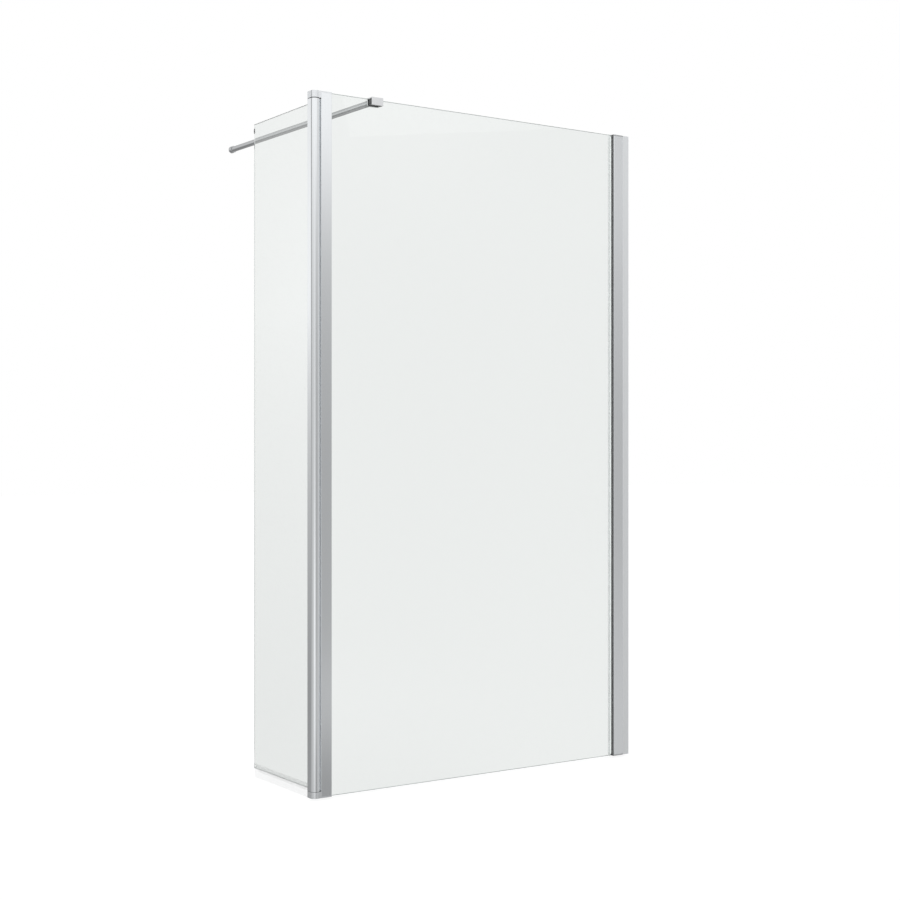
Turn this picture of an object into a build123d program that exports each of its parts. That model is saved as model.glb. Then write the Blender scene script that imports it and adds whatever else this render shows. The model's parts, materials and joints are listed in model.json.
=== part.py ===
from build123d import *
import math
import os

# Bath screen with a fixed pane, a hinged return pane and a support arm.
# X = 0 is the side wall, the fixed pane runs towards -X on Y = 0, the bath
# lies on the +Y side and Z = 0 is the foot of the fixed pane. All in mm.

# Panes
screen_height = 1400.0
glass_thickness = 6.0
glass_arris = 0.5
hinge_axis_reach = 807.0        # side wall to the hinge axis
return_reach = 257.0            # hinge axis to the free edge of the return pane
return_glass_foot_gap = 3.5     # bottom lobe to the return pane
return_glass_head_gap = 8.2     # return pane to the top lobe

# Wall channel, fixed to the wall
channel_half_width = 9.7
channel_wall = 1.6
channel_web = 2.0
wall_hole_radius = 2.6
wall_hole_margin = 100.0        # outer holes to the ends of the channel

# Glass-side profile, which slides over the wall channel
side_profile_start = 17.7       # its edge nearest the wall
side_profile_end = 44.4         # its edge on the glass side
side_profile_wall = 1.7
side_profile_corner = 1.0
slide_clearance = 0.1
width_adjust_left = 2.5         # travel left between channel and web
side_pocket_depth = 10.8
web_thickness = 1.6
pocket_edge_gap = 1.0           # glass edge to pocket floor

# Glazing gaskets
gasket_thickness = 2.6
pocket_lip = 1.8
gasket_head = 1.0
gasket_head_inset = 0.4         # head stops short of the profile's corner
gasket_stem_depth = 9.0
gasket_shoulder = 4.0

# Profile caps and locking screws
cap_thickness = 3.0
cap_clearance = 0.1
cap_spigot_length = 10.0
lock_screw_margin = 150.0       # outer locking screws to the ends of the profile
lock_screw_from_wall = 23.5
lock_screw_radius = 1.95
lock_screw_length = 5.0
lock_head_radius = 3.5
lock_head_height = 2.2
screw_cover_wall = 1.2
screw_hole_clearance = 0.05
screw_cover_clearance = 0.1

# Return profile on the hinge axis
flank_half_width = 9.5
barrel_radius = 10.5
barrel_edge_round = 6.0         # between the round front and each flank
return_profile_back = 12.2
return_profile_corner = 0.8
return_profile_wall = 1.6
pivot_boss_wall = 1.4
return_pocket_floor = 5.0
return_gasket_thickness = 1.6
return_gasket_base = 0.8

# Post channel beside the barrel
post_width = 24.1
post_half_depth = 10.0
post_corner = 0.8
post_wall = 1.7
post_left_wall = 1.8
post_chamber_width = 5.3
post_gasket_base = 1.0
flank_gap = 0.3                 # return flank to post at either stop
barrel_gap = 0.8                # barrel to its hollow in the post

# Hinge seal in the post
hinge_seal_width = 3.0
hinge_seal_root = 1.0
hinge_seal_gap = 0.3

# Hinge brackets, pins and bushes
bottom_lobe_height = 12.8
top_lobe_height = 13.6
bracket_plate = 3.0
bracket_spigot_length = 30.0
bracket_clearance = 0.15
pin_radius = 2.5
pin_seat_depth = 9.5
pin_reach = 20.0                # pin beyond the bracket's inner face
pin_seat_clearance = 0.01
bush_wall = 1.0
bush_running_clearance = 0.05
bush_length = 22.0
bush_flange = 0.6
bottom_thrust_gap = 0.1
top_thrust_gap = 1.0
bracket_screw_radius = 1.7
bracket_screw_length = 6.0
bracket_head_radius = 3.0
bracket_head_height = 1.8
bracket_screw_height = 21.0     # above the bracket's outer face
hex_socket_radius = 1.3
hex_socket_depth = 1.2

# Drip seal under the return pane
seal_leg_thickness = 1.0
seal_leg_height = 9.0
seal_web = 1.5
seal_blade_thickness = 1.2
seal_foot = -4.2
seal_bulb_radius = 1.1
seal_fin_thickness = 0.9
seal_fin_reach = 5.0
seal_fin_drop = 9.0
seal_end_gap = 0.3

# Rubber buffer on the free edge of the return pane
buffer_height = 11.0
buffer_drop = 8.4               # top of the return pane to the top of the buffer
buffer_thickness = 2.0
buffer_corner = 2.2
buffer_face_round = 0.5

# Support arm and its fittings
arm_radius = 6.35
arm_from_hinge = 138.0          # hinge axis to the arm's axis
arm_drop = 3.9                  # top edge of the fixed pane down to the arm's near end
arm_rise = 7.5                  # the arm climbs this much on its way to the far wall
arm_wall_reach = 652.0          # fixed pane's centre to the far wall
clamp_half_width = 13.6
clamp_grip = 13.8               # clamp's reach down the pane
clamp_cover = 2.5               # metal above the glass edge
clamp_plate = 1.0
clamp_back_thickness = 4.5
clamp_corner = 0.8
outer_pad_thickness = 10.3
inner_pad_thickness = 0.8
pad_inset = 0.5
pad_top_gap = 1.5
clamp_screw_offset = 9.0
clamp_screw_rise = 4.5          # clamp's foot to its grub screws
clamp_screw_radius = 2.0
arm_screw_radius = 2.0
arm_screw_head_radius = 3.4
arm_screw_head_height = 2.0
arm_screw_grip = 12.0
socket_radius = 7.9
socket_length = 12.0
socket_base = 3.0
socket_head_room = 2.6          # for the head of the wall screw behind the arm
socket_bore_clearance = 0.05
socket_hole_radius = 2.15
socket_corner = 0.5
socket_screw_radius = 1.3
socket_screw_gap = 0.02         # the bar's slope takes this much at the screw's tip

# Places worked out from the sizes above
middle_height = screen_height / 2
wall_hole_heights = (wall_hole_margin, middle_height, screen_height - wall_hole_margin)
lock_screw_heights = (lock_screw_margin, middle_height, screen_height - lock_screw_margin)
glass_half = glass_thickness / 2
side_profile_half = channel_half_width + slide_clearance + side_profile_wall
side_web_face = -(side_profile_end - side_pocket_depth)
channel_depth = -side_web_face - web_thickness - width_adjust_left
pivot_x = -hinge_axis_reach
post_left = pivot_x + flank_half_width + flank_gap
post_right = post_left + post_width
post_inner_half = post_half_depth - post_wall
chamber_left = pivot_x + barrel_radius + barrel_gap + post_left_wall
chamber_right = chamber_left + post_chamber_width
post_pocket_floor = chamber_right + web_thickness
main_glass_left = post_pocket_floor + post_gasket_base
main_glass_right = side_web_face - pocket_edge_gap
pocket_mouth_half = glass_half + gasket_thickness
bush_outer = pin_radius + bush_running_clearance + bush_wall
return_profile_foot = bottom_lobe_height + bottom_thrust_gap + bush_flange
return_profile_head = screen_height - top_lobe_height - top_thrust_gap - bush_flange
return_glass_front = return_pocket_floor + return_gasket_base
return_glass_foot = bottom_lobe_height + return_glass_foot_gap
return_glass_head = screen_height - top_lobe_height - return_glass_head_gap
return_pocket_half = glass_half + return_gasket_thickness
outer_pad_face = -(glass_half + outer_pad_thickness)
inner_pad_face = glass_half + inner_pad_thickness
clamp_front_face = outer_pad_face - clamp_plate
clamp_back_face = inner_pad_face + clamp_back_thickness
clamp_top = screen_height + clamp_cover
arm_x = pivot_x + arm_from_hinge
arm_height = screen_height - arm_drop
clamp_foot = screen_height - clamp_grip
clamp_screw_height = clamp_foot + clamp_screw_rise
arm_far_end = arm_wall_reach - socket_base - socket_head_room
socket_mouth_y = arm_wall_reach - socket_length
socket_screw_y = (socket_mouth_y + arm_far_end) / 2
socket_height = arm_height + arm_rise
arm_direction = (0, socket_screw_y - clamp_back_face, arm_rise)


def slab(x0, x1, y0, y1):
    """Flat rectangle between two X and two Y values."""
    return Pos((x0 + x1) / 2, (y0 + y1) / 2) * Rectangle(x1 - x0, y1 - y0)


def rounded_slab(x0, x1, y0, y1, radius):
    """Flat rectangle with rounded corners."""
    return Pos((x0 + x1) / 2, (y0 + y1) / 2) * RectangleRounded(x1 - x0, y1 - y0, radius)


def both_sides(x0, x1, y0, y1):
    """The same rectangle on the +Y and the -Y side."""
    return slab(x0, x1, y0, y1) + slab(x0, x1, -y1, -y0)


def upright(section, z0, z1):
    """Section in plan, run from one height to another."""
    return extrude(Pos(0, 0, z0) * section, amount=z1 - z0)


def rod(start, direction, radius, length):
    """Round bar from a point along a direction."""
    return extrude(Plane(origin=start, z_dir=direction) * Circle(radius), amount=length)


def block(x0, x1, y0, y1, z0, z1):
    """Plain box between two corners."""
    return upright(slab(x0, x1, y0, y1), z0, z1)


def pane(x0, x1, y0, y1, z0, z1):
    """Glass pane with its edges arrissed."""
    sheet = block(x0, x1, y0, y1, z0, z1)
    return chamfer(sheet.edges(), glass_arris)


def cap_screw(seat, direction, radius, length, head_radius, head_height):
    """Pan-head screw: its shank runs from the seat along direction."""
    back = Vector(*direction) * -1
    shank = rod(seat, direction, radius, length)
    head = rod(seat, back, head_radius, head_height)
    top = Vector(*seat) + back * head_height
    socket = Plane(origin=top, z_dir=direction) * RegularPolygon(hex_socket_radius, 6)
    return shank + head - extrude(socket, amount=hex_socket_depth)


def grub_screw(start, direction, radius, length):
    """Headless screw with a hexagon socket in the end at its start."""
    socket = Plane(origin=start, z_dir=direction) * RegularPolygon(radius / 2, 6)
    return rod(start, direction, radius, length) - extrude(socket, amount=length / 2)


def wall_channel():
    """U channel screwed to the wall, open towards the glass."""
    outline = slab(-channel_depth, 0, -channel_half_width, channel_half_width)
    inner_half = channel_half_width - channel_wall
    hollow = slab(-channel_depth, -channel_web, -inner_half, inner_half)
    body = upright(outline - hollow, 0, screen_height)
    for height in wall_hole_heights:
        body -= rod((-channel_web, 0, height), (1, 0, 0), wall_hole_radius, channel_web)
    for height in lock_screw_heights:
        start = (-lock_screw_from_wall, inner_half, height)
        body -= rod(start, (0, 1, 0), lock_screw_radius + screw_hole_clearance, channel_wall)
    return body


def side_profile_outline():
    """Outer outline of the glass-side profile in plan."""
    return rounded_slab(-side_profile_end, -side_profile_start,
                        -side_profile_half, side_profile_half, side_profile_corner)


def glass_side_profile():
    """Profile that holds the fixed pane and slides over the wall channel."""
    inner_half = side_profile_half - side_profile_wall
    slide_room = slab(side_web_face + web_thickness, -side_profile_start, -inner_half, inner_half)
    pocket = slab(-side_profile_end + pocket_lip, side_web_face, -inner_half, inner_half)
    mouth = slab(-side_profile_end, -side_profile_end + pocket_lip,
                 -pocket_mouth_half, pocket_mouth_half)
    section = side_profile_outline() - slide_room - pocket - mouth
    body = upright(section, cap_thickness, screen_height - cap_thickness)
    for height in lock_screw_heights:
        start = (-lock_screw_from_wall, inner_half, height)
        body -= rod(start, (0, 1, 0), lock_screw_radius + screw_hole_clearance, side_profile_wall)
    return body


def wall_gasket(side):
    """Wedge gasket on one side of the glass, with a head over the ends of profile and caps."""
    head_half = side_profile_half - side_profile_corner - gasket_head_inset
    inner_half = side_profile_half - side_profile_wall
    behind_lip = -side_profile_end + pocket_lip
    head = slab(-side_profile_end - gasket_head, -side_profile_end, glass_half, head_half)
    stem = slab(-side_profile_end, -side_profile_end + gasket_stem_depth,
                glass_half, pocket_mouth_half)
    shoulder = slab(behind_lip, behind_lip + gasket_shoulder, glass_half, inner_half)
    gasket = upright(head, 0, screen_height)
    gasket += upright(stem + shoulder, cap_thickness, screen_height - cap_thickness)
    return mirror(gasket, about=Plane.XZ) if side < 0 else gasket


def profile_cap():
    """Bottom cap that closes the glass-side profile and plugs the wall channel."""
    leg_inner = channel_half_width - channel_wall - cap_clearance
    inside = slab(-channel_depth, -channel_web - cap_clearance, -leg_inner, leg_inner)
    legs = both_sides(-channel_depth - cap_clearance, 0,
                      leg_inner, channel_half_width + cap_clearance)
    glass_slot = slab(-side_profile_end, main_glass_right + cap_clearance,
                      -glass_half - cap_clearance, glass_half + cap_clearance)
    plate = upright(side_profile_outline() - legs - glass_slot + inside, 0, cap_thickness)
    return plate + upright(inside, cap_thickness, cap_thickness + cap_spigot_length)


def top_of(bottom_piece):
    """The same piece turned over for the top of the screen."""
    return Pos(0, 0, screen_height) * mirror(bottom_piece, about=Plane.XY)


def locking_screws():
    """Screws that lock the glass-side profile on the wall channel."""
    return [cap_screw((-lock_screw_from_wall, side_profile_half, height), (0, -1, 0),
                      lock_screw_radius, lock_screw_length, lock_head_radius, lock_head_height)
            for height in lock_screw_heights]


def locking_screw_covers():
    """Snap covers over the heads of the locking screws."""
    inner_radius = lock_head_radius + screw_cover_clearance
    inner_height = lock_head_height + screw_cover_clearance
    covers = []
    for height in lock_screw_heights:
        seat = (-lock_screw_from_wall, side_profile_half, height)
        shell = rod(seat, (0, 1, 0), inner_radius + screw_cover_wall,
                    inner_height + screw_cover_wall)
        rim = shell.edges().sort_by(Axis.Y)[-1]
        covers.append(fillet(rim, screw_cover_wall / 2) - rod(seat, (0, 1, 0), inner_radius,
                                                              inner_height))
    return covers


def main_glass():
    """Fixed pane."""
    return pane(main_glass_left, main_glass_right, -glass_half, glass_half, 0, screen_height)


def hinge_seal_section(clearance):
    """Strip across the hollow of the post, measured out from the hinge axis."""
    inner = pivot_x + barrel_radius + hinge_seal_gap
    outer = pivot_x + barrel_radius + barrel_gap + hinge_seal_root
    half = hinge_seal_width / 2 + clearance
    return slab(inner, outer + clearance, -half, half)


def post_channel():
    """Post with the pocket for the fixed pane and a hollow for the barrel."""
    outline = rounded_slab(post_left, post_right, -post_half_depth, post_half_depth, post_corner)
    hollow = Pos(pivot_x, 0) * Circle(barrel_radius + barrel_gap)
    chamber = slab(chamber_left, chamber_right, -post_inner_half, post_inner_half)
    pocket = slab(post_pocket_floor, post_right - pocket_lip, -post_inner_half, post_inner_half)
    mouth = slab(post_right - pocket_lip, post_right, -pocket_mouth_half, pocket_mouth_half)
    section = outline - hollow - chamber - pocket - mouth - hinge_seal_section(0)
    body = upright(section, bracket_plate, screen_height - bracket_plate)
    hole_radius = bracket_screw_radius + screw_hole_clearance
    for height in bracket_screw_places():
        start = ((chamber_left + chamber_right) / 2, post_inner_half, height)
        body -= rod(start, (0, 1, 0), hole_radius, post_wall)
    return body


def post_gasket():
    """U gasket round the edge of the fixed pane in the post."""
    mouth = slab(post_pocket_floor, post_right, -pocket_mouth_half, pocket_mouth_half)
    shoulder = slab(post_pocket_floor, post_right - pocket_lip, -post_inner_half, post_inner_half)
    room = slab(main_glass_left, post_right, -glass_half, glass_half)
    return upright(mouth + shoulder - room, bracket_plate, screen_height - bracket_plate)


def hinge_seal():
    """Soft strip in the post that closes the gap to the barrel."""
    return upright(hinge_seal_section(0), bottom_lobe_height, screen_height - top_lobe_height)


def barrel_outline(margin=0.0):
    """Outline of the return profile: round front, flat flanks and a flat back."""
    radius = barrel_radius - margin
    half = flank_half_width - margin
    back = return_profile_back - margin
    corner = max(return_profile_corner - margin, 0.1)
    round_front = Circle(radius) + slab(-radius, radius, 0, back)
    bounds = rounded_slab(-half, half, -barrel_radius - corner, back, corner)
    outline = round_front & bounds
    front_edges = outline.vertices().filter_by(lambda point: -radius < point.Y < -corner)
    return Pos(pivot_x, 0) * fillet(front_edges, barrel_edge_round - margin)


def hinge_bracket(lobe_height):
    """Bottom bracket: a lobe under the barrel, a cap under the post and a spigot in it."""
    bridge = slab(pivot_x, post_left, -post_half_depth, post_half_depth)
    lobe = upright(barrel_outline() + bridge, 0, lobe_height)
    glass_slot = slab(main_glass_left - cap_clearance, post_right,
                      -glass_half - cap_clearance, glass_half + cap_clearance)
    foot = slab(post_left, post_left + post_corner, -post_half_depth, post_half_depth)
    cap = rounded_slab(post_left, post_right, -post_half_depth, post_half_depth, post_corner)
    plate = upright(cap + foot - glass_slot, 0, bracket_plate)
    spigot_half = post_inner_half - bracket_clearance
    spigot = block(chamber_left + bracket_clearance, chamber_right - bracket_clearance,
                   -spigot_half, spigot_half, bracket_plate, bracket_plate + bracket_spigot_length)
    pin_seat = rod((pivot_x, 0, lobe_height - pin_seat_depth), (0, 0, 1),
                   pin_radius + pin_seat_clearance, pin_seat_depth)
    screw_x = (chamber_left + chamber_right) / 2
    screw_hole = rod((screw_x, spigot_half, bracket_screw_height), (0, -1, 0),
                     bracket_screw_radius + screw_hole_clearance, bracket_screw_length)
    return lobe + plate + spigot - pin_seat - screw_hole


def bracket_screw_places():
    """Heights of the bracket screws."""
    return (bracket_screw_height, screen_height - bracket_screw_height)


def hinge_bracket_screws():
    """Screws through the post into the spigots of the brackets."""
    screw_x = (chamber_left + chamber_right) / 2
    return [cap_screw((screw_x, post_half_depth, height), (0, -1, 0), bracket_screw_radius,
                      bracket_screw_length, bracket_head_radius, bracket_head_height)
            for height in bracket_screw_places()]


def pivot_pin(lobe_height, from_top):
    """Steel pin pressed into a bracket, reaching into the barrel."""
    foot = lobe_height - pin_seat_depth
    pin = rod((pivot_x, 0, foot), (0, 0, 1), pin_radius, pin_seat_depth + pin_reach)
    return top_of(pin) if from_top else pin


def hinge_bush(profile_end, upward):
    """Plastic bush in the barrel, with a flange as large as the profile's end."""
    flange = upright(barrel_outline(), 0, bush_flange)
    sleeve = rod((pivot_x, 0, bush_flange), (0, 0, 1), bush_outer, bush_length)
    bore = rod((pivot_x, 0, 0), (0, 0, 1), pin_radius + bush_running_clearance,
               bush_flange + bush_length)
    bush = flange + sleeve - bore
    if upward:
        return Pos(0, 0, profile_end - bush_flange) * bush
    return Pos(0, 0, profile_end + bush_flange) * mirror(bush, about=Plane.XY)


def return_profile():
    """Hinged profile: barrel with the pivot bore, and a pocket for the return pane."""
    boss = Pos(pivot_x, 0) * Circle(bush_outer + pivot_boss_wall)
    pocket_wall_half = return_pocket_half + return_profile_wall
    pocket_block = slab(pivot_x - pocket_wall_half, pivot_x + pocket_wall_half,
                        0, return_profile_back)
    front_rib = slab(pivot_x - return_profile_wall / 2, pivot_x + return_profile_wall / 2,
                     -barrel_radius, 0)
    cavities = barrel_outline(return_profile_wall) - boss - pocket_block - front_rib
    pocket = slab(pivot_x - return_pocket_half, pivot_x + return_pocket_half,
                  return_pocket_floor, return_profile_back)
    bore = Pos(pivot_x, 0) * Circle(bush_outer + pin_seat_clearance)
    section = barrel_outline() - cavities - pocket - bore
    return upright(section, return_profile_foot, return_profile_head)


def return_gasket():
    """U gasket round the edge of the return pane in its profile."""
    outer = slab(pivot_x - return_pocket_half, pivot_x + return_pocket_half,
                 return_pocket_floor, return_profile_back)
    room = slab(pivot_x - glass_half, pivot_x + glass_half,
                return_glass_front, return_profile_back)
    return upright(outer - room, return_glass_foot, return_glass_head)


def return_glass():
    """Return pane."""
    return pane(pivot_x - glass_half, pivot_x + glass_half, return_glass_front, return_reach,
                return_glass_foot, return_glass_head)


def drip_seal():
    """Clear strip on the foot of the return pane: grip, wiping blade and drip fin."""
    outer = glass_half + seal_leg_thickness
    web_foot = return_glass_foot - seal_web
    grip = slab(-outer, outer, web_foot, return_glass_foot + seal_leg_height)
    grip -= slab(-glass_half, glass_half, return_glass_foot, return_glass_foot + seal_leg_height)
    blade_half = seal_blade_thickness / 2
    bulb_centre = seal_foot + seal_bulb_radius
    blade = slab(-blade_half, blade_half, bulb_centre, web_foot)
    bulb = Pos(0, bulb_centre) * Circle(seal_bulb_radius)
    fin_tip = outer + seal_fin_reach
    fin = Polyline((outer, return_glass_foot), (fin_tip, web_foot - seal_fin_drop),
                   (fin_tip - seal_fin_thickness, web_foot - seal_fin_drop),
                   (outer - seal_fin_thickness, web_foot), (outer, return_glass_foot))
    section = grip + blade + bulb + make_face(fin)
    start = math.hypot(flank_half_width, return_profile_back) + seal_end_gap
    frame = Plane(origin=(pivot_x, return_reach, 0), x_dir=(1, 0, 0), z_dir=(0, -1, 0))
    return extrude(frame * section, amount=return_reach - start)


def edge_buffer():
    """Small rubber pad on the free edge of the return pane, near its top."""
    half = glass_half - glass_arris
    top = return_glass_head - buffer_drop
    pad = block(pivot_x - half, pivot_x + half, return_reach, return_reach + buffer_thickness,
                top - buffer_height, top)
    pad = fillet(pad.edges().filter_by(Axis.Y), buffer_corner)
    return fillet(pad.faces().sort_by(Axis.Y)[-1].edges(), buffer_face_round)


def glass_clamp():
    """Bent cover over the top edge of the fixed pane, open below and at its ends."""
    body = block(arm_x - clamp_half_width, arm_x + clamp_half_width,
                 clamp_front_face, clamp_back_face, clamp_foot, clamp_top)
    body = fillet(body.edges(), clamp_corner)
    body -= block(arm_x - clamp_half_width, arm_x + clamp_half_width,
                  outer_pad_face, inner_pad_face, clamp_foot, screen_height)
    for side in (-1, 1):
        start = (arm_x + side * clamp_screw_offset, inner_pad_face, clamp_screw_height)
        body -= rod(start, (0, 1, 0), clamp_screw_radius + screw_hole_clearance,
                    clamp_back_thickness)
    screw_start = (arm_x, inner_pad_face, arm_height)
    body -= rod(screw_start, (0, 1, 0), arm_screw_radius + screw_hole_clearance,
                clamp_back_thickness)
    body -= rod(screw_start, (0, 1, 0), arm_screw_head_radius + screw_hole_clearance,
                arm_screw_head_height)
    return body


def clamp_pad_outer():
    """Thick rubber block between the front of the clamp and the glass."""
    half = clamp_half_width - pad_inset
    return block(arm_x - half, arm_x + half, outer_pad_face, -glass_half,
                 clamp_foot + pad_inset, screen_height)


def clamp_pad_inner():
    """Thin rubber pad between the back of the clamp and the glass."""
    half = clamp_half_width - pad_inset
    return block(arm_x - half, arm_x + half, glass_half, inner_pad_face,
                 clamp_foot + pad_inset, arm_height - arm_screw_head_radius - pad_top_gap)


def clamp_grub_screws():
    """Grub screws in the back of the clamp, pressing the inner pad on the glass."""
    return [grub_screw((arm_x + side * clamp_screw_offset, clamp_back_face, clamp_screw_height),
                       (0, -1, 0), clamp_screw_radius, clamp_back_thickness) for side in (-1, 1)]


def bar_between(radius, near, far):
    """Round bar on the arm's sloping axis, cut upright at both ends."""
    reach = arm_wall_reach + clamp_back_face
    bar = rod((arm_x, clamp_back_face, arm_height), arm_direction, radius, reach)
    back = rod((arm_x, clamp_back_face, arm_height), [-part for part in arm_direction],
               radius, clamp_back_face)
    window = block(arm_x - 2 * radius, arm_x + 2 * radius, near, far,
                   arm_height - 2 * radius, socket_height + 2 * radius)
    return (bar + back) & window


def support_arm():
    """Round bar from the clamp to the far wall, drilled for its screw."""
    bar = bar_between(arm_radius, clamp_back_face, arm_far_end)
    return bar - rod((arm_x, clamp_back_face, arm_height), (0, 1, 0),
                     arm_screw_radius + screw_hole_clearance, arm_screw_grip)


def arm_screw():
    """Screw from inside the clamp into the end of the arm."""
    seat_y = inner_pad_face + arm_screw_head_height
    grip = clamp_back_face + arm_screw_grip - seat_y - screw_cover_clearance
    return cap_screw((arm_x, seat_y, arm_height), (0, 1, 0), arm_screw_radius, grip,
                     arm_screw_head_radius, arm_screw_head_height)


def arm_wall_socket():
    """Turned socket on the far wall, bored on the slope of the arm."""
    body = rod((arm_x, socket_mouth_y, socket_height), (0, 1, 0), socket_radius, socket_length)
    body = fillet(body.edges().group_by(Axis.Y)[0], socket_corner)
    body -= bar_between(arm_radius + socket_bore_clearance, socket_mouth_y,
                        arm_wall_reach - socket_base)
    body -= rod((arm_x, arm_wall_reach - socket_base, socket_height), (0, 1, 0),
                socket_hole_radius, socket_base)
    return body - rod((arm_x, socket_screw_y, socket_height), (0, 0, -1),
                      socket_screw_radius + screw_hole_clearance, socket_radius)


def arm_socket_screw():
    """Grub screw under the wall socket, holding the arm."""
    reach = socket_radius - arm_radius - socket_screw_gap
    return grub_screw((arm_x, socket_screw_y, socket_height - socket_radius), (0, 0, 1),
                      socket_screw_radius, reach)


def make_parts():
    """Every piece of the screen under its node's name."""
    bottom_cap = profile_cap()
    return {
        "wall_channel": wall_channel(),
        "glass_side_profile": glass_side_profile(),
        "wall_gasket_outer": wall_gasket(-1),
        "wall_gasket_inner": wall_gasket(1),
        "wall_bottom_cap": bottom_cap,
        "wall_top_cap": top_of(bottom_cap),
        "locking_screws": locking_screws(),
        "locking_screw_covers": locking_screw_covers(),
        "main_glass": main_glass(),
        "post_channel": post_channel(),
        "post_gasket": post_gasket(),
        "hinge_seal": hinge_seal(),
        "bottom_hinge_bracket": hinge_bracket(bottom_lobe_height),
        "top_hinge_bracket": top_of(hinge_bracket(top_lobe_height)),
        "hinge_bracket_screws": hinge_bracket_screws(),
        "bottom_pivot_pin": pivot_pin(bottom_lobe_height, False),
        "top_pivot_pin": pivot_pin(top_lobe_height, True),
        "bottom_hinge_bush": hinge_bush(return_profile_foot, True),
        "top_hinge_bush": hinge_bush(return_profile_head, False),
        "return_profile": return_profile(),
        "return_gasket": return_gasket(),
        "return_glass": return_glass(),
        "drip_seal": drip_seal(),
        "edge_buffer": edge_buffer(),
        "glass_clamp": glass_clamp(),
        "clamp_pad_outer": clamp_pad_outer(),
        "clamp_pad_inner": clamp_pad_inner(),
        "clamp_grub_screws": clamp_grub_screws(),
        "support_arm": support_arm(),
        "arm_screw": arm_screw(),
        "arm_wall_socket": arm_wall_socket(),
        "arm_socket_screw": arm_socket_screw(),
    }


def main():
    """Write one file for each node."""
    os.makedirs("parts", exist_ok=True)
    for name, shape in make_parts().items():
        piece = Compound(children=shape) if isinstance(shape, list) else shape
        export_step(piece, f"parts/{name}.step")


if __name__ == "__main__":
    main()
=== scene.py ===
"""Bath screen with a hinged return panel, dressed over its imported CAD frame.

X = 0 is the side wall, the fixed pane runs towards -X on Y = 0 and the floor of
the studio lies just under the drip seal. Everything is in metres.
"""

from __future__ import annotations

import json
import logging
import math
from dataclasses import dataclass
from enum import Enum

import bpy
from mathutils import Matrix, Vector

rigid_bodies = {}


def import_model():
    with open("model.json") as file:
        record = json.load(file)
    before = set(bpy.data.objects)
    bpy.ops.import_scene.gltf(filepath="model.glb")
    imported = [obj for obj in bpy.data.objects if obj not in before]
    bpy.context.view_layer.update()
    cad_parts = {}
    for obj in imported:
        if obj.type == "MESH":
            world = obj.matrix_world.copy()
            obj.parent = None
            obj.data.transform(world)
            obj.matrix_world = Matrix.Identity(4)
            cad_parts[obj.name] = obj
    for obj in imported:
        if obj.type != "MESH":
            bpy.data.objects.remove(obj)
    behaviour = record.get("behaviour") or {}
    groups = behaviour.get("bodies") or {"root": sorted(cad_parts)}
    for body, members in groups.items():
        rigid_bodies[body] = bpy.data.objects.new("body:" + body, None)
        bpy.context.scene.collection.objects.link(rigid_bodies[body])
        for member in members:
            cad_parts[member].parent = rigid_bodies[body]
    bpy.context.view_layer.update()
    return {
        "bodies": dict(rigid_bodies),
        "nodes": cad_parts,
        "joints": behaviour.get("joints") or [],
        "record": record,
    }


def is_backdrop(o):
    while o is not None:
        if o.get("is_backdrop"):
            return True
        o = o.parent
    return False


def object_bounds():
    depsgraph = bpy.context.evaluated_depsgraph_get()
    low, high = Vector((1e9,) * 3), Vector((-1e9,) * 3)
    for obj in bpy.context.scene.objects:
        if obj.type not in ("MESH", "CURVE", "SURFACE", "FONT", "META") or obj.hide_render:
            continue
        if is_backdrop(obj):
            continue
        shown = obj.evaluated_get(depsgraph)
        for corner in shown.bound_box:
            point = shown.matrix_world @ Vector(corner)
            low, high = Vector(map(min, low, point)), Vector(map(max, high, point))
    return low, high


LOG = logging.getLogger("bath_screen")

FULL_TURN = 360.0               # degrees
NODE_SPACING = 190.0            # between nodes in the editor
LINE_SHARE = 0.65               # weight of the fine lines on drawn metal
CLOUD_SHARE = 0.35              # weight of the broad cloud under them
LINE_DETAIL = 3.0
METAL_CLOUDS = 5.0              # clouds per metre on drawn metal
GRAIN_DETAIL = 2.0
GRAIN_CLOUDS = 24.0             # clouds per metre on moulded pieces
HAZE_DETAIL = 5.0
HAZE_DISTORTION = 1.2
HAZE_POWER = 2.5
FACE_COSINE = 0.9               # below this a point lies on a pane's edge, not its face
LEVEL_COSINE = 0.4              # above this an edge counts as level, not upright
GLASS_TINT = (0.845, 0.865, 0.855)
GLASS_EDGE_TINT = (0.42, 0.50, 0.48)

Colour = tuple[float, float, float]
Point = tuple[float, float, float]


class PaneFace(Enum):
    """Direction that the large faces of a pane look along, in the pane's own space."""

    ACROSS_BATH = (0.0, 1.0, 0.0)
    ALONG_BATH = (1.0, 0.0, 0.0)


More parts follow.
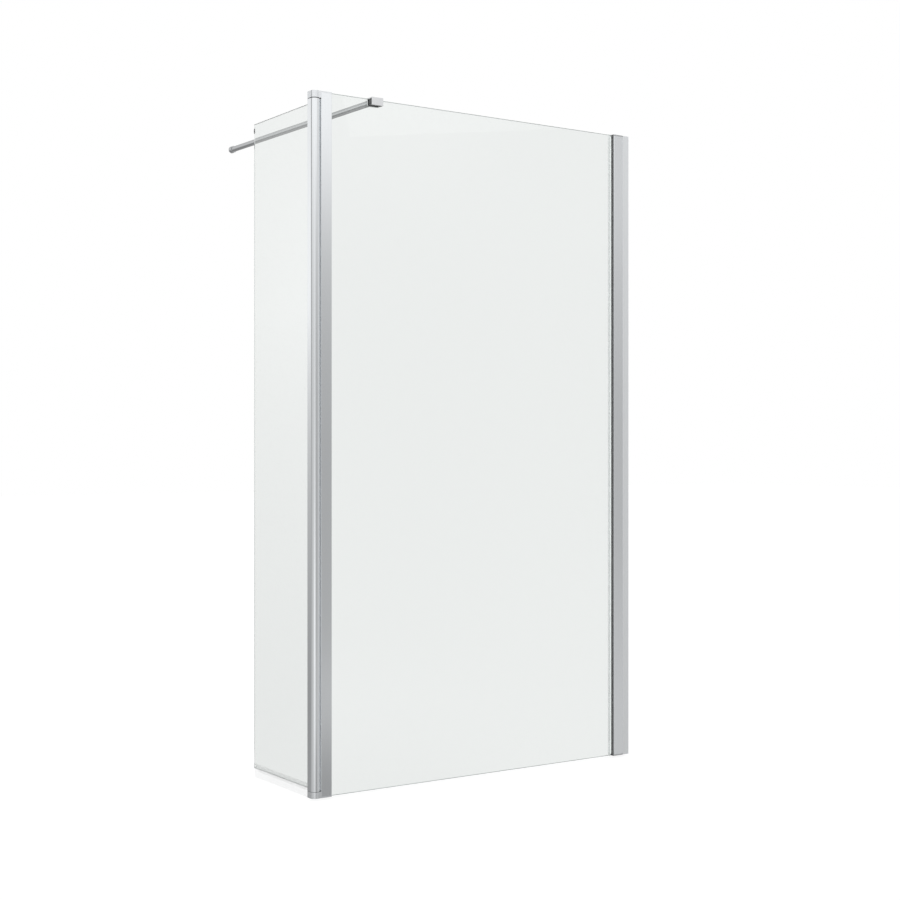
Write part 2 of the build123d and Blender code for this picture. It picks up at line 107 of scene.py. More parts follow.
class Wiring:
    """Short calls for placing and linking the nodes of one material or group."""

    def __init__(self, tree: bpy.types.NodeTree) -> None:
        """Starts on an empty tree.

        Args:
            tree: the node tree to fill.
        """
        self.tree = tree
        self.tree.nodes.clear()
        self._column = 0

    def node(self, kind: str, **settings: object) -> bpy.types.Node:
        """Adds a node.

        Args:
            kind: Blender's name for the node type.
            settings: attributes to set on it.

        Returns:
            The new node.
        """
        made = self.tree.nodes.new(kind)
        made.location = (self._column * NODE_SPACING, 0.0)
        self._column += 1
        for name, value in settings.items():
            setattr(made, name, value)
        return made

    def link(self, source: bpy.types.NodeSocket, target: bpy.types.NodeSocket) -> None:
        """Joins an output to an input."""
        self.tree.links.new(source, target)

    def feed(self, socket: bpy.types.NodeSocket, value: object) -> None:
        """Links a socket or sets a plain value on an input.

        Args:
            socket: the input to feed.
            value: another node's output, or a number or tuple.
        """
        if isinstance(value, bpy.types.NodeSocket):
            self.link(value, socket)
        else:
            socket.default_value = value

    def maths(self, operation: str, *values: object) -> bpy.types.NodeSocket:
        """Adds a Math node.

        Args:
            operation: Blender's name for the operation.
            values: its inputs, sockets or numbers.

        Returns:
            The node's output.
        """
        made = self.node("ShaderNodeMath", operation=operation)
        for socket, value in zip(made.inputs, values):
            self.feed(socket, value)
        return made.outputs[0]

    def ramp_between(self, factor: object, low: object, high: object) -> bpy.types.NodeSocket:
        """Adds a Map Range node that runs from low to high as factor goes from 0 to 1.

        Args:
            factor: the driving socket or number.
            low: value at 0.
            high: value at 1.

        Returns:
            The node's output.
        """
        made = self.node("ShaderNodeMapRange")
        self.feed(made.inputs["Value"], factor)
        self.feed(made.inputs["To Min"], low)
        self.feed(made.inputs["To Max"], high)
        return made.outputs["Result"]

    def blend_colour(self, factor: object, first: object, second: object) -> bpy.types.NodeSocket:
        """Adds a colour mix.

        Args:
            factor: share of the second colour.
            first: colour at 0.
            second: colour at 1.

        Returns:
            The mixed colour's socket.
        """
        made = self.node("ShaderNodeMix", data_type="RGBA")
        self.feed(made.inputs[0], factor)
        self.feed(made.inputs[6], first)
        self.feed(made.inputs[7], second)
        return made.outputs[2]

    def seen_by(self, *kinds: str) -> bpy.types.NodeSocket:
        """Adds a Light Path node and joins some of its outputs.

        Args:
            kinds: names of the Light Path outputs.

        Returns:
            A socket that is 1 where any of those kinds of ray looks.
        """
        path = self.node("ShaderNodeLightPath")
        joined = path.outputs[kinds[0]]
        for kind in kinds[1:]:
            joined = self.maths("MAXIMUM", joined, path.outputs[kind])
        return joined


def rgba(colour: Colour) -> tuple[float, float, float, float]:
    """The colour with a full alpha."""
    return (*colour, 1.0)


class EffectGroups:
    """Node groups that several finishes share, each built once."""

    def __init__(self) -> None:
        """Builds the groups."""
        self.drawn_lines = self._drawn_lines()
        self.fine_grain = self._fine_grain()
        self.wiped_haze = self._wiped_haze()
        self.pane_edge = self._pane_edge()

    @staticmethod
    def _open(name: str, inputs: dict[str, float], outputs: tuple[str, ...]) -> tuple:
        """Makes an empty group.

        Args:
            name: the group's name.
            inputs: socket names with their default values.
            outputs: socket names.

        Returns:
            The wiring, the group's input node and its output node.
        """
        group = bpy.data.node_groups.new(name, "ShaderNodeTree")
        for label, value in inputs.items():
            socket = group.interface.new_socket(label, in_out="INPUT", socket_type="NodeSocketFloat")
            socket.default_value = value
        for label in outputs:
            group.interface.new_socket(label, in_out="OUTPUT", socket_type="NodeSocketFloat")
        wiring = Wiring(group)
        return wiring, wiring.node("NodeGroupInput"), wiring.node("NodeGroupOutput")

    def _drawn_lines(self) -> bpy.types.NodeTree:
        """Fine lines that an extruded or drawn profile carries along its length."""
        wiring, given, result = self._open(
            "drawn_lines",
            {"Lines per metre": 900.0, "Stretch": 0.012, "Smoothest": 0.1, "Roughest": 0.2},
            ("Roughness", "Height", "Tone"),
        )
        place = wiring.node("ShaderNodeTexCoord").outputs["Object"]
        split = wiring.node("ShaderNodeSeparateXYZ")
        wiring.link(place, split.inputs[0])
        joined = wiring.node("ShaderNodeCombineXYZ")
        wiring.link(split.outputs["X"], joined.inputs["X"])
        wiring.link(split.outputs["Y"], joined.inputs["Y"])
        drawn_out = wiring.maths("MULTIPLY", split.outputs["Z"], given.outputs["Stretch"])
        wiring.link(drawn_out, joined.inputs["Z"])
        lines = wiring.node("ShaderNodeTexNoise")
        wiring.link(joined.outputs[0], lines.inputs["Vector"])
        wiring.link(given.outputs["Lines per metre"], lines.inputs["Scale"])
        lines.inputs["Detail"].default_value = LINE_DETAIL
        cloud = wiring.node("ShaderNodeTexNoise")
        wiring.link(place, cloud.inputs["Vector"])
        cloud.inputs["Scale"].default_value = METAL_CLOUDS
        both = wiring.maths("MULTIPLY_ADD", cloud.outputs["Fac"], CLOUD_SHARE,
                            wiring.maths("MULTIPLY", lines.outputs["Fac"], LINE_SHARE))
        rough = wiring.ramp_between(both, given.outputs["Smoothest"], given.outputs["Roughest"])
        wiring.link(rough, result.inputs["Roughness"])
        wiring.link(lines.outputs["Fac"], result.inputs["Height"])
        wiring.link(both, result.inputs["Tone"])
        return wiring.tree

    def _fine_grain(self) -> bpy.types.NodeTree:
        """Close, even grain of moulded plastic or rubber."""
        wiring, given, result = self._open(
            "fine_grain",
            {"Grains per metre": 2500.0, "Smoothest": 0.4, "Roughest": 0.6},
            ("Roughness", "Height", "Tone"),
        )
        place = wiring.node("ShaderNodeTexCoord").outputs["Object"]
        grain = wiring.node("ShaderNodeTexNoise")
        wiring.link(place, grain.inputs["Vector"])
        wiring.link(given.outputs["Grains per metre"], grain.inputs["Scale"])
        grain.inputs["Detail"].default_value = GRAIN_DETAIL
        cloud = wiring.node("ShaderNodeTexNoise")
        wiring.link(place, cloud.inputs["Vector"])
        cloud.inputs["Scale"].default_value = GRAIN_CLOUDS
        rough = wiring.ramp_between(cloud.outputs["Fac"], given.outputs["Smoothest"],
                                    given.outputs["Roughest"])
        wiring.link(rough, result.inputs["Roughness"])
        wiring.link(grain.outputs["Fac"], result.inputs["Height"])
        wiring.link(cloud.outputs["Fac"], result.inputs["Tone"])
        return wiring.tree

    def _wiped_haze(self) -> bpy.types.NodeTree:
        """Faint uneven haze that wiping leaves on glass and bright metal."""
        wiring, given, result = self._open(
            "wiped_haze",
            {"Patches per metre": 3.0, "Cleanest": 0.0, "Haziest": 0.02},
            ("Roughness", "Height"),
        )
        place = wiring.node("ShaderNodeTexCoord").outputs["Object"]
        patches = wiring.node("ShaderNodeTexNoise")
        wiring.link(place, patches.inputs["Vector"])
        wiring.link(given.outputs["Patches per metre"], patches.inputs["Scale"])
        patches.inputs["Detail"].default_value = HAZE_DETAIL
        patches.inputs["Distortion"].default_value = HAZE_DISTORTION
        haze = wiring.maths("POWER", patches.outputs["Fac"], HAZE_POWER)
        rough = wiring.ramp_between(haze, given.outputs["Cleanest"], given.outputs["Haziest"])
        wiring.link(rough, result.inputs["Roughness"])
        wiring.link(patches.outputs["Fac"], result.inputs["Height"])
        return wiring.tree

    def _pane_edge(self) -> bpy.types.NodeTree:
        """Mask of the ground edges of a pane, with less of it on the upright ones."""
        wiring, given, result = self._open(
            "pane_edge",
            {"Face X": 0.0, "Face Y": 1.0, "Face Z": 0.0, "Upright share": 0.2},
            ("Edge",),
        )
        normal = wiring.node("ShaderNodeTexCoord").outputs["Normal"]
        face = wiring.node("ShaderNodeCombineXYZ")
        for label, socket in (("Face X", "X"), ("Face Y", "Y"), ("Face Z", "Z")):
            wiring.link(given.outputs[label], face.inputs[socket])
        dot = wiring.node("ShaderNodeVectorMath", operation="DOT_PRODUCT")
        wiring.link(normal, dot.inputs[0])
        wiring.link(face.outputs[0], dot.inputs[1])
        edge = wiring.maths("LESS_THAN", wiring.maths("ABSOLUTE", dot.outputs["Value"]), FACE_COSINE)
        split = wiring.node("ShaderNodeSeparateXYZ")
        wiring.link(normal, split.inputs[0])
        level = wiring.maths("GREATER_THAN", wiring.maths("ABSOLUTE", split.outputs["Z"]), LEVEL_COSINE)
        share = wiring.ramp_between(level, given.outputs["Upright share"], 1.0)
        wiring.link(wiring.maths("MULTIPLY", edge, share), result.inputs["Edge"])
        return wiring.tree


@dataclass(frozen=True)
class Surface:
    """What all finishes share: a name, and a principled shader with its output."""

    name: str

    def start(self) -> tuple[bpy.types.Material, Wiring, bpy.types.Node]:
        """Makes the material with its shader.

        Returns:
            The material, its wiring and the principled shader.
        """
        material = bpy.data.materials.new(self.name)
        material.use_nodes = True
        wiring = Wiring(material.node_tree)
        shader = wiring.node("ShaderNodeBsdfPrincipled")
        output = wiring.node("ShaderNodeOutputMaterial")
        wiring.link(shader.outputs[0], output.inputs["Surface"])
        return material, wiring, shader

    @staticmethod
    def place(wiring: Wiring, group: bpy.types.NodeTree, **values: float) -> bpy.types.Node:
        """Places a shared group with this finish's own values.

        Args:
            wiring: the material's wiring.
            group: the group to place.
            values: the group's inputs, with underscores for the spaces in their names.

        Returns:
            The group node.
        """
        made = wiring.node("ShaderNodeGroup", node_tree=group)
        for label, value in values.items():
            made.inputs[label.replace("_", " ")].default_value = value
        return made

    @staticmethod
    def bump(wiring: Wiring, shader: bpy.types.Node, height: bpy.types.NodeSocket,
             depth: float, strength: float) -> None:
        """Feeds the shader's normal with a bump.

        Args:
            wiring: the material's wiring.
            shader: the principled shader.
            height: socket with the height.
            depth: depth of the relief in metres.
            strength: how much of it shows.
        """
        made = wiring.node("ShaderNodeBump")
        made.inputs["Strength"].default_value = strength
        made.inputs["Distance"].default_value = depth
        wiring.link(height, made.inputs["Height"])
        wiring.link(made.outputs["Normal"], shader.inputs["Normal"])


@dataclass(frozen=True)
class DrawnMetal(Surface):
    """Metal drawn or extruded along its length, bright or satin."""

    pale: Colour
    deep: Colour
    smoothest: float
    roughest: float
    lines_per_metre: float = 900.0
    stretch: float = 0.012
    relief: float = 0.000004
    relief_strength: float = 0.35

    def build(self, groups: EffectGroups) -> bpy.types.Material:
        """Makes the material.

        Args:
            groups: the shared node groups.

        Returns:
            The finished material.
        """
        material, wiring, shader = self.start()
        lines = self.place(wiring, groups.drawn_lines, Lines_per_metre=self.lines_per_metre,
                           Stretch=self.stretch, Smoothest=self.smoothest, Roughest=self.roughest)
        tone = wiring.blend_colour(lines.outputs["Tone"], rgba(self.pale), rgba(self.deep))
        wiring.link(tone, shader.inputs["Base Color"])
        wiring.link(lines.outputs["Roughness"], shader.inputs["Roughness"])
        shader.inputs["Metallic"].default_value = 1.0
        self.bump(wiring, shader, lines.outputs["Height"], self.relief, self.relief_strength)
        return material


@dataclass(frozen=True)
class PolishedChrome(Surface):
    """Mirror plating with a faint haze."""

    colour: Colour
    haze: float
    clean: float = 0.03
    patches_per_metre: float = 40.0
    deeper: float = 0.96

    def build(self, groups: EffectGroups) -> bpy.types.Material:
        """Makes the material.

        Args:
            groups: the shared node groups.

        Returns:
            The finished material.
        """
        material, wiring, shader = self.start()
        haze = self.place(wiring, groups.wiped_haze, Patches_per_metre=self.patches_per_metre,
                          Cleanest=self.clean, Haziest=self.haze)
        wiring.link(haze.outputs["Roughness"], shader.inputs["Roughness"])
        tint = wiring.blend_colour(haze.outputs["Height"], rgba(self.colour),
                                   rgba(tuple(self.deeper * part for part in self.colour)))
        wiring.link(tint, shader.inputs["Base Color"])
        shader.inputs["Metallic"].default_value = 1.0
        return material


@dataclass(frozen=True)
class ClearGlass(Surface):
    """Toughened glass with a faint tint and deeper ground edges."""

    face: PaneFace
    tint: Colour = GLASS_TINT
    edge_tint: Colour = GLASS_EDGE_TINT
    edge_roughness: float = 0.28
    refraction: float = 1.5
    patches_per_metre: float = 2.5
    haze: float = 0.012
    relief: float = 0.0004
    relief_strength: float = 0.04

    def build(self, groups: EffectGroups) -> bpy.types.Material:
        """Makes the material.

        Args:
            groups: the shared node groups.

        Returns:
            The finished material.
        """
        material, wiring, shader = self.start()
        x, y, z = self.face.value
        edge = self.place(wiring, groups.pane_edge, Face_X=x, Face_Y=y, Face_Z=z)
        haze = self.place(wiring, groups.wiped_haze, Patches_per_metre=self.patches_per_metre,
                          Cleanest=0.0, Haziest=self.haze)
        colour = wiring.blend_colour(edge.outputs["Edge"], rgba(self.tint), rgba(self.edge_tint))
        wiring.link(colour, shader.inputs["Base Color"])
        rough = wiring.ramp_between(edge.outputs["Edge"], haze.outputs["Roughness"],
                                    self.edge_roughness)
        wiring.link(rough, shader.inputs["Roughness"])
        shader.inputs["Metallic"].default_value = 0.0
        shader.inputs["IOR"].default_value = self.refraction
        shader.inputs["Transmission Weight"].default_value = 1.0
        self.bump(wiring, shader, haze.outputs["Height"], self.relief, self.relief_strength)
        return material


@dataclass(frozen=True)
class ClearSeal(Surface):
    """Soft clear plastic: a thin veil with the faint lines of its extrusion."""

    tint: Colour
    veil: float
    smoothest: float = 0.18
    roughest: float = 0.34
    grains_per_metre: float = 700.0
    refraction: float = 1.53
    deeper: float = 0.95
    relief: float = 0.00002
    relief_strength: float = 0.2

    def build(self, groups: EffectGroups) -> bpy.types.Material:
        """Makes the material.

        Args:
            groups: the shared node groups.

        Returns:
            The finished material.
        """
        material, wiring, shader = self.start()
        grain = self.place(wiring, groups.fine_grain, Grains_per_metre=self.grains_per_metre,
                           Smoothest=self.smoothest, Roughest=self.roughest)
        wiring.link(grain.outputs["Roughness"], shader.inputs["Roughness"])
        deeper = tuple(self.deeper * part for part in self.tint)
        tone = wiring.blend_colour(grain.outputs["Tone"], rgba(self.tint), rgba(deeper))
        wiring.link(tone, shader.inputs["Base Color"])
        shader.inputs["Metallic"].default_value = 0.0
        shader.inputs["IOR"].default_value = self.refraction
        shader.inputs["Alpha"].default_value = self.veil
        self.bump(wiring, shader, grain.outputs["Height"], self.relief, self.relief_strength)
        return material


@dataclass(frozen=True)
class Moulded(Surface):
    """Moulded plastic or rubber with a close grain.

    The glow is painted light: emission that lifts a strip out of the shade of a narrow gap,
    so that it is as pale as it is in the photo. It shows under any light.
    """

    pale: Colour
    deep: Colour
    smoothest: float
    roughest: float
    grains_per_metre: float = 2500.0
    relief: float = 0.00003
    relief_strength: float = 0.3
    glow: float = 0.0

    def build(self, groups: EffectGroups) -> bpy.types.Material:
        """Makes the material.

        Args:
            groups: the shared node groups.

        Returns:
            The finished material.
        """
        material, wiring, shader = self.start()
        grain = self.place(wiring, groups.fine_grain, Grains_per_metre=self.grains_per_metre,
                           Smoothest=self.smoothest, Roughest=self.roughest)
        tone = wiring.blend_colour(grain.outputs["Tone"], rgba(self.pale), rgba(self.deep))
        wiring.link(tone, shader.inputs["Base Color"])
        wiring.link(grain.outputs["Roughness"], shader.inputs["Roughness"])
        # Painted light: a part with glow gives off its own pale colour, which lifts it out of the shade
        # it lies in.
        shader.inputs["Emission Color"].default_value = rgba(self.pale)
        shader.inputs["Emission Strength"].default_value = self.glow
        self.bump(wiring, shader, grain.outputs["Height"], self.relief, self.relief_strength)
        return material


class Finishes:
    """All finishes of the screen, built once."""

    def __init__(self) -> None:
        """Builds the shared groups and the materials."""
        groups = EffectGroups()
        self.aluminium = DrawnMetal(
            "bright_aluminium", (0.80, 0.82, 0.838), (0.775, 0.795, 0.812), 0.10, 0.20).build(groups)
        self.channel = DrawnMetal(
            "satin_aluminium", (0.93, 0.95, 0.965), (0.90, 0.92, 0.935), 0.42, 0.52).build(groups)
        self.bracket = DrawnMetal(
            "satin_chrome", (0.82, 0.84, 0.86), (0.79, 0.81, 0.83), 0.20, 0.32,
            lines_per_metre=2200.0, stretch=1.0).build(groups)
        self.steel = DrawnMetal(
            "stainless_steel", (0.66, 0.66, 0.67), (0.58, 0.58, 0.59), 0.22, 0.38,
            lines_per_metre=3000.0, stretch=0.3).build(groups)
        self.chrome = PolishedChrome("polished_chrome", (0.56, 0.57, 0.58), 0.24).build(groups)
        self.brushed_chrome = DrawnMetal(
            "brushed_chrome", (0.80, 0.81, 0.82), (0.76, 0.77, 0.78), 0.22, 0.34,
            lines_per_metre=2600.0, stretch=0.5).build(groups)
        self.fixed_glass = ClearGlass("clear_glass_fixed", PaneFace.ACROSS_BATH).build(groups)
        self.return_glass = ClearGlass("clear_glass_return", PaneFace.ALONG_BATH).build(groups)
        self.clear_seal = ClearSeal("clear_seal", (0.88, 0.90, 0.90), 0.07).build(groups)
        self.rubber = Moulded(
            "matt_rubber", (0.175, 0.177, 0.178), (0.145, 0.146, 0.147), 0.55, 0.70).build(groups)
        self.grey_seal = Moulded(
            "grey_rubber", (0.58, 0.59, 0.60), (0.52, 0.53, 0.54), 0.50, 0.65).build(groups)
        # Painted light: the hinge seal glows so that it stays pale in the shade of the narrow gap
        # between barrel and post.
        self.pale_seal_painted_glow = Moulded(
            "pale_strip_painted_glow", (0.90, 0.90, 0.90), (0.85, 0.85, 0.85), 0.45, 0.60,
            glow=0.85).build(groups)
        # Painted light: the inner wall gasket glows a little so that it stays pale in the shade where
        # it sits.
        self.pale_gasket_painted_glow = Moulded(
            "pale_gasket_painted_glow", (0.90, 0.91, 0.91), (0.86, 0.87, 0.87), 0.45, 0.60,
            glow=0.40).build(groups)
        self.cap_plastic = Moulded(
            "silver_plastic", (0.60, 0.605, 0.61), (0.56, 0.565, 0.57), 0.30, 0.40).build(groups)
        self.bush_plastic = Moulded(
            "dark_bearing_plastic", (0.070, 0.071, 0.073), (0.055, 0.055, 0.057),
            0.38, 0.50).build(groups)


@dataclass
class SubAssembly:
    """A group of CAD nodes that are dressed together."""

    frame: dict
    finishes: Finishes

    def dress(self, node: str, material: bpy.types.Material) -> None:
        """Gives a CAD node its finish through its object's material slots.

        Args:
            node: name of the CAD node.
            material: the finish.
        """
        piece = self.frame["nodes"][node]
        for place in piece.material_slots:
            place.link = "OBJECT"
            place.material = material
        LOG.info("%s: %s", node, material.name)


@dataclass
class WallProfiles(SubAssembly):
    """Channel on the wall, the profile that slides over it, its gaskets and caps."""

    def build(self) -> None:
        """Dresses the wall side of the screen."""
        self.dress("wall_channel", self.finishes.channel)
        self.dress("glass_side_profile", self.finishes.aluminium)
        self.dress("wall_gasket_outer", self.finishes.rubber)
        self.dress("wall_gasket_inner", self.finishes.pale_gasket_painted_glow)
        for end in ("bottom", "top"):
            self.dress(f"wall_{end}_cap", self.finishes.cap_plastic)
        self.dress("locking_screws", self.finishes.steel)
        self.dress("locking_screw_covers", self.finishes.cap_plastic)


@dataclass
class FixedPane(SubAssembly):
    """Fixed pane with the post on its free edge."""

    def build(self) -> None:
        """Dresses the pane and its post."""
        self.dress("main_glass", self.finishes.fixed_glass)
        self.dress("post_channel", self.finishes.aluminium)
        self.dress("post_gasket", self.finishes.rubber)
        self.dress("hinge_seal", self.finishes.pale_seal_painted_glow)


@dataclass
class BarrelHinge(SubAssembly):
    """Brackets, pins and bushes at both ends of the barrel."""

    def build(self) -> None:
        """Dresses the hinge's hardware."""
        for end in ("bottom", "top"):
            self.dress(f"{end}_hinge_bracket", self.finishes.bracket)
            self.dress(f"{end}_pivot_pin", self.finishes.steel)
            self.dress(f"{end}_hinge_bush", self.finishes.bush_plastic)
        self.dress("hinge_bracket_screws", self.finishes.steel)


@dataclass
class ReturnPanel(SubAssembly):
    """Hinged panel: barrel profile, gasket, pane, drip seal and edge buffer."""

    def build(self) -> None:
        """Dresses the return panel."""
        self.dress("return_profile", self.finishes.aluminium)
        self.dress("return_gasket", self.finishes.rubber)
        self.dress("return_glass", self.finishes.return_glass)
        self.dress("drip_seal", self.finishes.clear_seal)
        self.dress("edge_buffer", self.finishes.grey_seal)


@dataclass
class SupportArm(SubAssembly):
    """Round bar from the clamp on the fixed pane to the socket on the far wall."""

    def build(self) -> None:
        """Dresses the arm and its fittings."""
        self.dress("support_arm", self.finishes.chrome)
        self.dress("glass_clamp", self.finishes.brushed_chrome)
        self.dress("arm_wall_socket", self.finishes.chrome)
        self.dress("clamp_pad_outer", self.finishes.rubber)
        self.dress("clamp_pad_inner", self.finishes.clear_seal)
        for node in ("clamp_grub_screws", "arm_screw", "arm_socket_screw"):
            self.dress(node, self.finishes.steel)


@dataclass(frozen=True)
class Card:
    """One card of the ring round the object.

    Angles are in degrees from +X towards +Y. Stops are pairs of height in metres
    and brightness, from the lowest to the highest.
    """

    start: float
    end: float
    stops: tuple[tuple[float, float], ...]

    def brightness(self, height: float) -> float:
        """Brightness at a height, straight between the stops.

        Args:
            height: height over the rim in metres.

        Returns:
            The brightness there.
        """
        if height <= self.stops[0][0]:
            return self.stops[0][1]
        for (low, first), (high, second) in zip(self.stops, self.stops[1:]):
            if height <= high:
                return first + (second - first) * (height - low) / (high - low)
        return self.stops[-1][1]


@dataclass(frozen=True)
class Lamp:
    """One square soft lamp, with its side in metres and its power in watts."""

    name: str
    place: Point
    size: float
    power: float


@dataclass
class Studio:
    """Pale floor, white air, soft lamps and the ring of cards that reflections see.

    The ring isn't plain studio light: its stops were fitted to the brightness of the
    metal in the photo. Reflections see the ring and the ground card and neither the
    floor nor the lamps, and they see the white air only over the ring.
    """

    centre: Point = (-0.45, 0.1, 0.0)
    floor_size: float = 40.0
    floor_gap: float = 0.0006
    ring_radius: float = 6.0
    ring_foot: float = -1.5
    ring_head: float = 7.0
    ring_step: float = 1.5
    height_step: float = 0.1
    blend_angle: float = 3.0
    white: float = 1.0
    fill: float = 0.80
    floor_shine: float = 0.90
    floor_albedo: float = 0.16
    ground_tone: float = 0.52
    ground_overlap: float = 1.01
    air: Colour = (0.97, 0.985, 1.0)
    aim_height: float = 0.6
    lamps: tuple[Lamp, ...] = (
        Lamp("lamp_key", (-2.6, -1.6, 3.4), 2.6, 22.0),
        Lamp("lamp_fill", (1.8, -2.2, 3.2), 2.6, 14.0),
        Lamp("lamp_back", (-0.8, 2.8, 3.3), 2.6, 12.0),
    )
    cards: tuple[Card, ...] = (
        Card(92.0, 119.0, ((-1.3, 0.35), (-0.8, 0.34), (0.4, 0.50), (1.0, 0.70), (2.2, 0.85),
                           (3.4, 0.80))),
        Card(119.0, 128.0, ((-1.3, 0.35), (-0.8, 0.34), (-0.2, 0.45), (0.4, 0.58), (1.0, 0.82),
                            (1.5, 1.20), (2.2, 1.14), (2.6, 1.08), (3.0, 1.05), (3.4, 0.80))),
        Card(128.0, 172.0, ((-1.3, 0.50), (0.7, 0.46), (2.7, 0.42))),
        Card(172.0, 222.0, ((-1.3, 0.62), (0.7, 0.65), (1.6, 0.74), (2.5, 1.04), (2.8, 1.20),
                            (3.4, 1.12), (3.8, 0.70))),
        Card(222.0, 262.0, ((-1.3, 0.70), (-0.9, 1.02), (-0.2, 1.06), (0.4, 0.84), (1.0, 0.78),
                            (2.0, 0.92), (2.5, 1.10), (2.8, 1.20), (3.4, 1.12), (3.8, 0.70))),
        Card(262.0, 305.0, ((-1.3, 0.28), (-1.0, 0.55), (-0.8, 0.67), (-0.4, 0.50), (0.6, 0.48),
                            (1.2, 0.52), (1.8, 0.63), (2.15, 0.83), (2.45, 1.04), (2.75, 1.15),
                            (3.4, 1.12), (3.8, 0.70))),
        Card(305.0, 335.0, ((-1.3, 0.67), (-0.8, 0.67), (0.2, 0.56), (0.9, 0.56), (1.6, 0.64),
                            (2.1, 0.76), (2.7, 0.74))),
        Card(335.0, 395.0, ((-1.3, 0.62), (0.5, 0.80), (2.7, 1.00))),
        Card(395.0, 452.0, ((-1.3, 0.38), (2.7, 0.55))),
    )

    def build(self) -> None:
        """Makes the whole studio."""
        self._world()
        self._floor()
        self._ring()
        self._ground_card()
        for lamp in self.lamps:
            self._hang(lamp)

    def _world(self) -> None:
        """White air for the camera and through glass, softer air as light.

        Reflections see the white air only over the ring.
        """
        world = bpy.data.worlds.new("studio_air")
        world.use_nodes = True
        bpy.context.scene.world = world
        wiring = Wiring(world.node_tree)
        light = wiring.node("ShaderNodeBackground")
        light.inputs["Color"].default_value = rgba(self.air)
        light.inputs["Strength"].default_value = self.fill
        backdrop = wiring.node("ShaderNodeBackground")
        backdrop.inputs["Color"].default_value = rgba((1.0, 1.0, 1.0))
        backdrop.inputs["Strength"].default_value = self.white
        mixed = wiring.node("ShaderNodeMixShader")
        seen = wiring.seen_by("Is Camera Ray", "Is Glossy Ray", "Is Transmission Ray")
        wiring.link(seen, mixed.inputs[0])
        wiring.link(light.outputs[0], mixed.inputs[1])
        wiring.link(backdrop.outputs[0], mixed.inputs[2])
        output = wiring.node("ShaderNodeOutputWorld")
        wiring.link(mixed.outputs[0], output.inputs["Surface"])

    def _floor(self) -> None:
        """Pale floor just under the lowest piece, with a faint shadow.

        Reflections don't see it, so Is Glossy Ray has no effect in its material.
        """
        material = bpy.data.materials.new("studio_floor")
        material.use_nodes = True
        wiring = Wiring(material.node_tree)
        glow = wiring.node("ShaderNodeEmission")
        wiring.link(wiring.maths("MULTIPLY", wiring.seen_by("Is Camera Ray"), self.floor_shine),
                    glow.inputs["Strength"])
        paint = wiring.node("ShaderNodeBsdfDiffuse")
        paint.inputs["Color"].default_value = rgba((self.floor_albedo,) * 3)
        added = wiring.node("ShaderNodeAddShader")
        wiring.link(glow.outputs[0], added.inputs[0])
        wiring.link(paint.outputs[0], added.inputs[1])
        plain = wiring.node("ShaderNodeEmission")
        plain.inputs["Strength"].default_value = self.white
        mixed = wiring.node("ShaderNodeMixShader")
        wiring.link(wiring.seen_by("Is Glossy Ray", "Is Transmission Ray"), mixed.inputs[0])
        wiring.link(added.outputs[0], mixed.inputs[1])
        wiring.link(plain.outputs[0], mixed.inputs[2])
        output = wiring.node("ShaderNodeOutputMaterial")
        wiring.link(mixed.outputs[0], output.inputs["Surface"])
        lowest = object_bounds()[0].z - self.floor_gap
        half = self.floor_size / 2
        corners = [(-half, -half), (half, -half), (half, half), (-half, half)]
        floor = self._sheet("studio_floor", [(x, y, lowest) for x, y in corners], [(0, 1, 2, 3)],
                            material)
        floor.visible_glossy = False

    def _sheet(self, name: str, points: list[Point], faces: list[tuple[int, ...]],
               material: bpy.types.Material) -> bpy.types.Object:
        """Makes a stage object from points and faces.

        Args:
            name: the object's name.
            points: corners in metres.
            faces: corner numbers of each face.
            material: its material.

        Returns:
            The stage object.
        """
        mesh = bpy.data.meshes.new(name)
        mesh.from_pydata(points, [], faces)
        mesh.materials.append(material)
        made = bpy.data.objects.new(name, mesh)
        bpy.context.scene.collection.objects.link(made)
        made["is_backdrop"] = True
        LOG.info("stage: %s", name)
        return made

    @staticmethod
    def _mirror_only(card: bpy.types.Object) -> None:
        """Shows a card to reflections alone."""
        card.visible_camera = False
        card.visible_diffuse = False
        card.visible_transmission = False
        card.visible_shadow = False

    def _tone(self, angle: float, height: float) -> float:
        """Brightness of the ring at an angle and height, soft across the cards' sides.

        Args:
            angle: angle in degrees.
            height: height in metres.

        Returns:
            The brightness.
        """
        total = 0.0
        weight = 0.0
        for card in self.cards:
            middle = (card.start + card.end) / 2
            turned = (angle - middle + FULL_TURN / 2) % FULL_TURN - FULL_TURN / 2
            away = abs(turned) - (card.end - card.start) / 2
            share = min(1.0, max(0.0, 0.5 - away / (2 * self.blend_angle)))
            total += share * card.brightness(height)
            weight += share
        return total / weight

    def _ring(self) -> None:
        """Makes the ring as one curved card with its run of brightness."""
        material = bpy.data.materials.new("card_ring")
        material.use_nodes = True
        wiring = Wiring(material.node_tree)
        tone = wiring.node("ShaderNodeAttribute", attribute_name="tone")
        glow = wiring.node("ShaderNodeEmission")
        wiring.link(tone.outputs["Fac"], glow.inputs["Strength"])
        output = wiring.node("ShaderNodeOutputMaterial")
        wiring.link(glow.outputs[0], output.inputs["Surface"])
        columns = round(FULL_TURN / self.ring_step)
        rows = round((self.ring_head - self.ring_foot) / self.height_step)
        points: list[Point] = []
        tones: list[float] = []
        for column in range(columns):
            angle = column * self.ring_step
            x = self.centre[0] + self.ring_radius * math.cos(math.radians(angle))
            y = self.centre[1] + self.ring_radius * math.sin(math.radians(angle))
            for row in range(rows + 1):
                height = self.ring_foot + row * self.height_step
                points.append((x, y, height))
                tones.append(self._tone(angle, height))
        tall = rows + 1
        faces = [(c * tall + r, (c + 1) % columns * tall + r, (c + 1) % columns * tall + r + 1,
                  c * tall + r + 1) for c in range(columns) for r in range(rows)]
        ring = self._sheet("card_ring", points, faces, material)
        ring.data.attributes.new("tone", "FLOAT", "POINT").data.foreach_set("value", tones)
        self._mirror_only(ring)

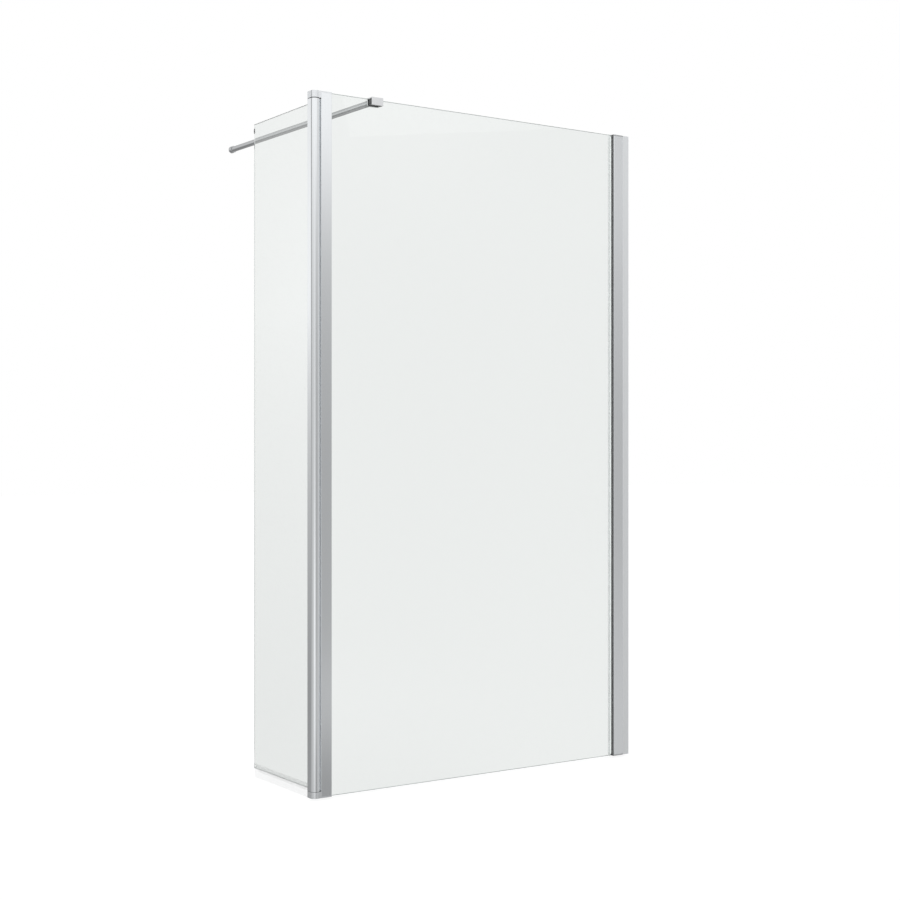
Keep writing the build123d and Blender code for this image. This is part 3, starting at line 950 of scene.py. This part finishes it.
    def _ground_card(self) -> None:
        """Grey card under the ring, which reflections see in place of the floor."""
        material = bpy.data.materials.new("card_ground")
        material.use_nodes = True
        wiring = Wiring(material.node_tree)
        glow = wiring.node("ShaderNodeEmission")
        glow.inputs["Color"].default_value = rgba((self.ground_tone,) * 3)
        output = wiring.node("ShaderNodeOutputMaterial")
        wiring.link(glow.outputs[0], output.inputs["Surface"])
        reach = self.ring_radius * self.ground_overlap
        corners = [(-reach, -reach), (reach, -reach), (reach, reach), (-reach, reach)]
        points = [(self.centre[0] + x, self.centre[1] + y, self.ring_foot) for x, y in corners]
        self._mirror_only(self._sheet("card_ground", points, [(0, 1, 2, 3)], material))

    def _hang(self, lamp: Lamp) -> None:
        """Adds a soft lamp that looks at the object and that metal doesn't mirror.

        Args:
            lamp: the lamp to hang.
        """
        data = bpy.data.lights.new(lamp.name, "AREA")
        data.size = lamp.size
        data.energy = lamp.power
        made = bpy.data.objects.new(lamp.name, data)
        made.location = lamp.place
        aim = Vector((self.centre[0], self.centre[1], self.aim_height)) - Vector(lamp.place)
        made.rotation_mode = "QUATERNION"
        made.rotation_quaternion = aim.to_track_quat("-Z", "Y")
        made.visible_glossy = False
        bpy.context.scene.collection.objects.link(made)
        LOG.info("lamp: %s", lamp.name)


@dataclass(frozen=True)
class PhotoCamera:
    """Camera level with the middle of the screen, seen from the outer side."""

    place: Point = (-2.2940, -2.6712, 0.6891)
    turn_degrees: float = -34.14
    lens: float = 61.51
    sensor: float = 36.0
    level_tilt: float = 90.0
    nearest: float = 0.05
    farthest: float = 100.0

    def build(self) -> None:
        """Makes the camera and sets it as the scene's."""
        data = bpy.data.cameras.new("camera")
        data.lens = self.lens
        data.sensor_width = self.sensor
        data.clip_start = self.nearest
        data.clip_end = self.farthest
        camera = bpy.data.objects.new("camera", data)
        camera.location = self.place
        camera.rotation_euler = (math.radians(self.level_tilt), 0.0, math.radians(self.turn_degrees))
        bpy.context.scene.collection.objects.link(camera)
        bpy.context.scene.camera = camera
        LOG.info("camera at %s", self.place)


def main() -> None:
    """Builds the studio and dresses each sub-assembly in order."""
    logging.basicConfig(level=logging.INFO, format="%(name)s %(message)s")
    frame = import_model()
    bpy.context.scene.view_settings.view_transform = "Standard"
    PhotoCamera().build()
    Studio().build()
    finishes = Finishes()
    for kind in (WallProfiles, FixedPane, BarrelHinge, ReturnPanel, SupportArm):
        kind(frame, finishes).build()


if __name__ == "__main__":
    main()
